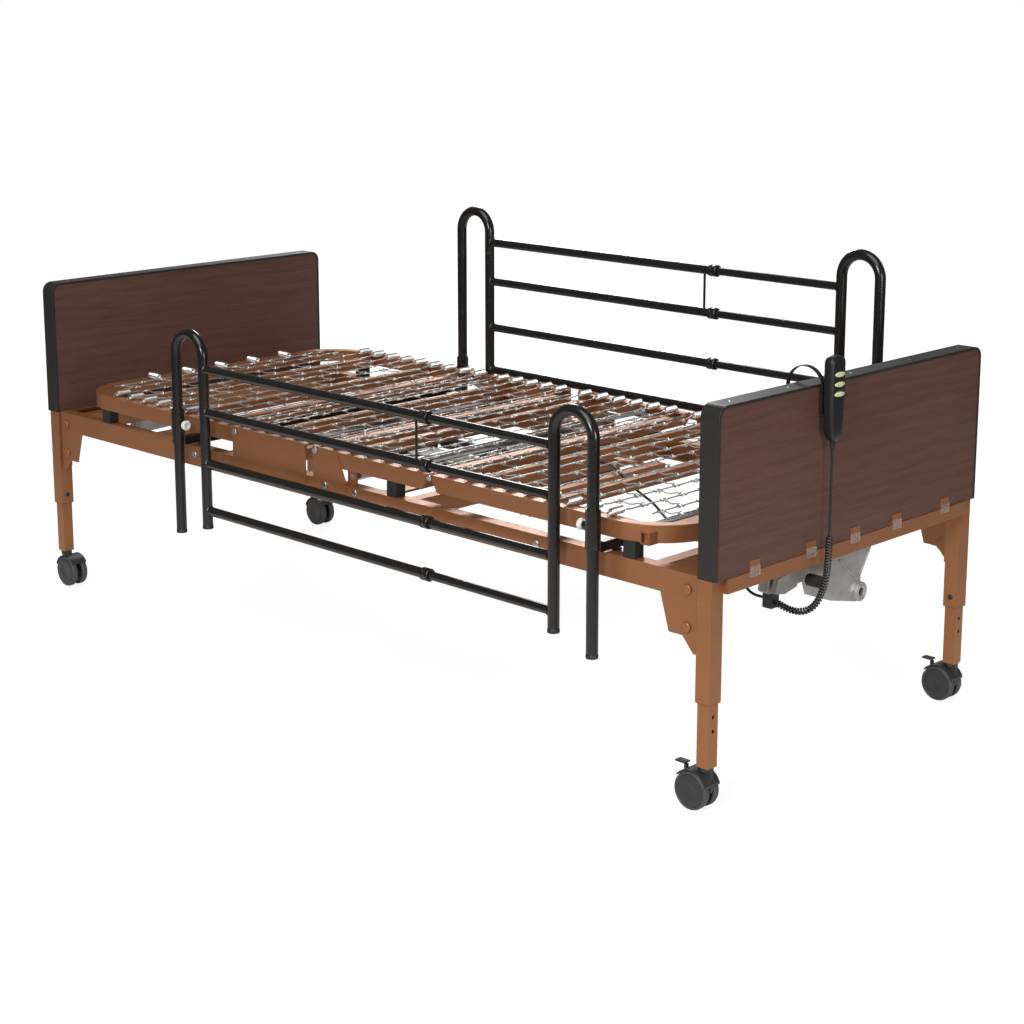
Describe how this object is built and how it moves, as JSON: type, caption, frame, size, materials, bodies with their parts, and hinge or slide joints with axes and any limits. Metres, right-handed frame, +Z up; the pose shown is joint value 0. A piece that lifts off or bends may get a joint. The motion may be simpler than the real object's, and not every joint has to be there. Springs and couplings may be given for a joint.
{
  "type": "adjustable hospital bed",
  "caption": "Adjustable home-care bed: sectioned link-spring deck on a split frame, panelled ends with telescoping legs, casters, sliding side rails and a wired pendant.",
  "frame": {"origin": "floor level under the middle of the object's box, free cord left out", "axes": "+X from the head end to the foot end, +Y to the side of the raised rail, +Z up"},
  "size_m": [2.3206, 1.006, 1],
  "materials": {
    "laminate": "satin walnut laminate with fine horizontal grain",
    "black_trim": "satin black moulding",
    "copper_paint": "semi-gloss copper-brown powder coat",
    "clear_plastic": "translucent clear plastic",
    "black_plastic": "satin",
    "zinc": "bright zinc plate",
    "spring_wire": "bright galvanised wire",
    "rubber": "matte",
    "cast_aluminium": "as-cast, lightly tumbled",
    "black_paint": "gloss black powder coat",
    "white_plastic": "gloss",
    "pendant_plastic": "fine spark-eroded satin",
    "key_plastic": "satin",
    "cord_jacket": "satin",
    "caster_plastic": "satin",
    "caster_wheel": "satin"
  },
  "bodies": {
    "frame": {"head_panel_boards": "laminate", "foot_panel_boards": "laminate", "head_panel_trim": "black_trim", "foot_panel_trim": "black_trim", "head_end_frame": "copper_paint", "foot_end_frame": "copper_paint", "panel_clips": "clear_plastic", "leg_glides": "black_plastic", "head_main_frame": "copper_paint", "foot_main_frame": "copper_paint", "frame_bolts": "zinc", "rubber_bumpers": "rubber", "seat_fabric": "spring_wire", "motor_housing": "black_plastic", "head_gearbox": "cast_aluminium", "foot_gearbox": "cast_aluminium", "head_crossbar": "black_paint", "pendant_shell": "pendant_plastic", "pendant_hook": "pendant_plastic", "pendant_relief": "rubber", "pendant_cord": "cord_jacket", "pendant_curl": "cord_jacket", "motor_lead": "cord_jacket"},
    "head_section": {"head_deck_frame": "copper_paint", "head_fabric": "spring_wire"},
    "thigh_section": {"thigh_frame": "copper_paint", "thigh_fabric": "spring_wire", "knee_bolts": "zinc"},
    "foot_section": {"foot_deck_frame": "copper_paint", "foot_fabric": "spring_wire"},
    "head_lift": {"head_lift_arm": "zinc"},
    "knee_lift": {"knee_lift_arm": "zinc"},
    "head_push_rod": {"head_rod": "zinc"},
    "knee_push_rod": {"knee_rod": "zinc"},
    "head_legs": {"head_leg_yoke": "copper_paint"},
    "foot_legs": {"foot_leg_yoke": "copper_paint"},
    "near_rail": {"near_rail_head": "black_paint"},
    "near_rail_slider": {"near_rail_foot": "black_paint"},
    "far_rail": {"far_rail_head": "black_paint"},
    "far_rail_slider": {"far_rail_foot": "black_paint"},
    "foot_rail_crossbar": {"foot_crossbar": "black_paint"},
    "far_head_knob": {"far_head_knob": "white_plastic"},
    "near_head_knob": {"near_head_knob": "white_plastic"},
    "far_foot_knob": {"far_foot_knob": "white_plastic"},
    "near_foot_knob": {"near_foot_knob": "white_plastic"},
    "head_key": {"head_key": "key_plastic"},
    "knee_key": {"knee_key": "key_plastic"},
    "height_key": {"height_key": "key_plastic"},
    "drive_shafts": {"drive_shafts": "zinc"},
    "far_foot_caster": {"far_foot_caster_fork": "caster_plastic"},
    "far_foot_wheels": {"far_foot_caster_wheels": "caster_wheel"},
    "far_foot_brake": {"far_foot_caster_pedal": "caster_plastic"},
    "near_foot_caster": {"near_foot_caster_fork": "caster_plastic"},
    "near_foot_wheels": {"near_foot_caster_wheels": "caster_wheel"},
    "near_foot_brake": {"near_foot_caster_pedal": "caster_plastic"},
    "far_head_caster": {"far_head_caster_fork": "caster_plastic"},
    "far_head_wheels": {"far_head_caster_wheels": "caster_wheel"},
    "near_head_caster": {"near_head_caster_fork": "caster_plastic"},
    "near_head_wheels": {"near_head_caster_wheels": "caster_wheel"}
  },
  "joints": [
    {"name": "head_raise", "type": "hinge", "parent": "frame", "child": "head_section", "pos_m": [-0.35515, 0, 0.544], "axis": [0, 1, 0], "range_deg": [0, 65]},
    {"name": "knee_raise", "type": "hinge", "parent": "frame", "child": "thigh_section", "pos_m": [-0.05865, 0, 0.546], "axis": [0, -1, 0], "range_deg": [0, 30]},
    {"name": "foot_fold", "type": "hinge", "parent": "thigh_section", "child": "foot_section", "pos_m": [0.31885, 0, 0.544], "axis": [0, 1, 0], "range_deg": [0, 46.09]},
    {"name": "head_lift_turn", "type": "hinge", "parent": "frame", "child": "head_lift", "pos_m": [-0.34715, 0, 0.5], "axis": [0, 1, 0], "range_deg": [0, 50]},
    {"name": "knee_lift_turn", "type": "hinge", "parent": "frame", "child": "knee_lift", "pos_m": [0.05285, 0, 0.5], "axis": [0, -1, 0], "range_deg": [0, 59]},
    {"name": "head_rod_push", "type": "slide", "parent": "frame", "child": "head_push_rod", "axis": [-1, 0, 0], "range_m": [0, 0.06]},
    {"name": "knee_rod_push", "type": "slide", "parent": "frame", "child": "knee_push_rod", "axis": [1, 0, 0], "range_m": [0, 0.07]},
    {"name": "bed_height", "type": "slide", "parent": "frame", "child": "foot_legs", "axis": [0, 0, 1], "range_m": [-0.075, 0.115]},
    {"name": "head_height", "type": "slide", "parent": "frame", "child": "head_legs", "axis": [0, 0, 1], "range_m": [-0.0751, 0.1151]},
    {"name": "far_foot_swivel", "type": "hinge", "parent": "foot_legs", "child": "far_foot_caster", "pos_m": [1.09585, 0.439, 0.0001], "axis": [0, 0, 1], "continuous": true},
    {"name": "far_foot_roll", "type": "hinge", "parent": "far_foot_caster", "child": "far_foot_wheels", "pos_m": [1.07185, 0.439, 0.04], "axis": [0, 1, 0], "continuous": true},
    {"name": "far_foot_brake_press", "type": "hinge", "parent": "far_foot_caster", "child": "far_foot_brake", "pos_m": [1.04585, 0.439, 0.086], "axis": [0, -1, 0], "range_deg": [0, 12], "stiffness_Nm_per_rad": 0.5},
    {"name": "near_foot_swivel", "type": "hinge", "parent": "foot_legs", "child": "near_foot_caster", "pos_m": [1.09585, -0.439, 0.0001], "axis": [0, 0, 1], "continuous": true},
    {"name": "near_foot_roll", "type": "hinge", "parent": "near_foot_caster", "child": "near_foot_wheels", "pos_m": [1.07185, -0.439, 0.04], "axis": [0, 1, 0], "continuous": true},
    {"name": "near_foot_brake_press", "type": "hinge", "parent": "near_foot_caster", "child": "near_foot_brake", "pos_m": [1.04585, -0.439, 0.086], "axis": [0, -1, 0], "range_deg": [0, 12], "stiffness_Nm_per_rad": 0.5},
    {"name": "far_head_swivel", "type": "hinge", "parent": "head_legs", "child": "far_head_caster", "pos_m": [-1.13015, 0.439, 0.0001], "axis": [0, 0, 1], "continuous": true},
    {"name": "far_head_roll", "type": "hinge", "parent": "far_head_caster", "child": "far_head_wheels", "pos_m": [-1.10615, 0.439, 0.04], "axis": [0, 1, 0], "continuous": true},
    {"name": "near_head_swivel", "type": "hinge", "parent": "head_legs", "child": "near_head_caster", "pos_m": [-1.13015, -0.439, 0.0001], "axis": [0, 0, 1], "continuous": true},
    {"name": "near_head_roll", "type": "hinge", "parent": "near_head_caster", "child": "near_head_wheels", "pos_m": [-1.10615, -0.439, 0.04], "axis": [0, 1, 0], "continuous": true},
    {"name": "near_rail_lift", "type": "slide", "parent": "frame", "child": "near_rail", "axis": [0, 0, 1], "range_m": [0, 0.217]},
    {"name": "near_rail_stretch", "type": "slide", "parent": "near_rail", "child": "near_rail_slider", "axis": [1, 0, 0], "range_m": [-0.25, 0.03]},
    {"name": "far_rail_lift", "type": "slide", "parent": "frame", "child": "far_rail", "axis": [0, 0, 1], "range_m": [-0.217, 0]},
    {"name": "far_rail_stretch", "type": "slide", "parent": "far_rail", "child": "far_rail_slider", "axis": [1, 0, 0], "range_m": [-0.25, 0.03]},
    {"name": "foot_crossbar_slide", "type": "slide", "parent": "frame", "child": "foot_rail_crossbar", "axis": [1, 0, 0], "range_m": [-0.25, 0.03]},
    {"name": "far_head_knob_pull", "type": "slide", "parent": "frame", "child": "far_head_knob", "axis": [1, 0, 0], "range_m": [0, 0.008], "stiffness_N_per_m": 400},
    {"name": "far_foot_knob_pull", "type": "slide", "parent": "foot_rail_crossbar", "child": "far_foot_knob", "axis": [-1, 0, 0], "range_m": [0, 0.008], "stiffness_N_per_m": 400},
    {"name": "near_head_knob_pull", "type": "slide", "parent": "frame", "child": "near_head_knob", "axis": [1, 0, 0], "range_m": [0, 0.008], "stiffness_N_per_m": 400},
    {"name": "near_foot_knob_pull", "type": "slide", "parent": "foot_rail_crossbar", "child": "near_foot_knob", "axis": [-1, 0, 0], "range_m": [0, 0.008], "stiffness_N_per_m": 400},
    {"name": "head_key_rock", "type": "hinge", "parent": "frame", "child": "head_key", "pos_m": [1.15375, -0.12, 0.843], "axis": [0, 0, 1], "range_deg": [-3.5, 3.5], "stiffness_Nm_per_rad": 0.05},
    {"name": "knee_key_rock", "type": "hinge", "parent": "frame", "child": "knee_key", "pos_m": [1.15375, -0.12, 0.823], "axis": [0, 0, 1], "range_deg": [-3.5, 3.5], "stiffness_Nm_per_rad": 0.05},
    {"name": "height_key_rock", "type": "hinge", "parent": "frame", "child": "height_key", "pos_m": [1.15375, -0.12, 0.803], "axis": [0, 0, 1], "range_deg": [-3.5, 3.5], "stiffness_Nm_per_rad": 0.05},
    {"name": "drive_turn", "type": "hinge", "parent": "frame", "child": "drive_shafts", "pos_m": [-0.01715, -0.06, 0.416], "axis": [1, 0, 0], "continuous": true}
  ],
  "couplings": [
    {"joint": "foot_fold", "follows": "knee_raise", "ratio": 1.536},
    {"joint": "head_lift_turn", "follows": "head_raise", "ratio": 0.756},
    {"joint": "knee_lift_turn", "follows": "knee_raise", "ratio": 1.934},
    {"joint": "head_rod_push", "follows": "head_raise", "m_per_rad": 0.05118},
    {"joint": "knee_rod_push", "follows": "knee_raise", "m_per_rad": 0.12963},
    {"joint": "head_height", "follows": "bed_height", "ratio": 1},
    {"joint": "near_rail_stretch", "follows": "foot_crossbar_slide", "ratio": 1},
    {"joint": "far_rail_stretch", "follows": "foot_crossbar_slide", "ratio": 1}
  ]
}
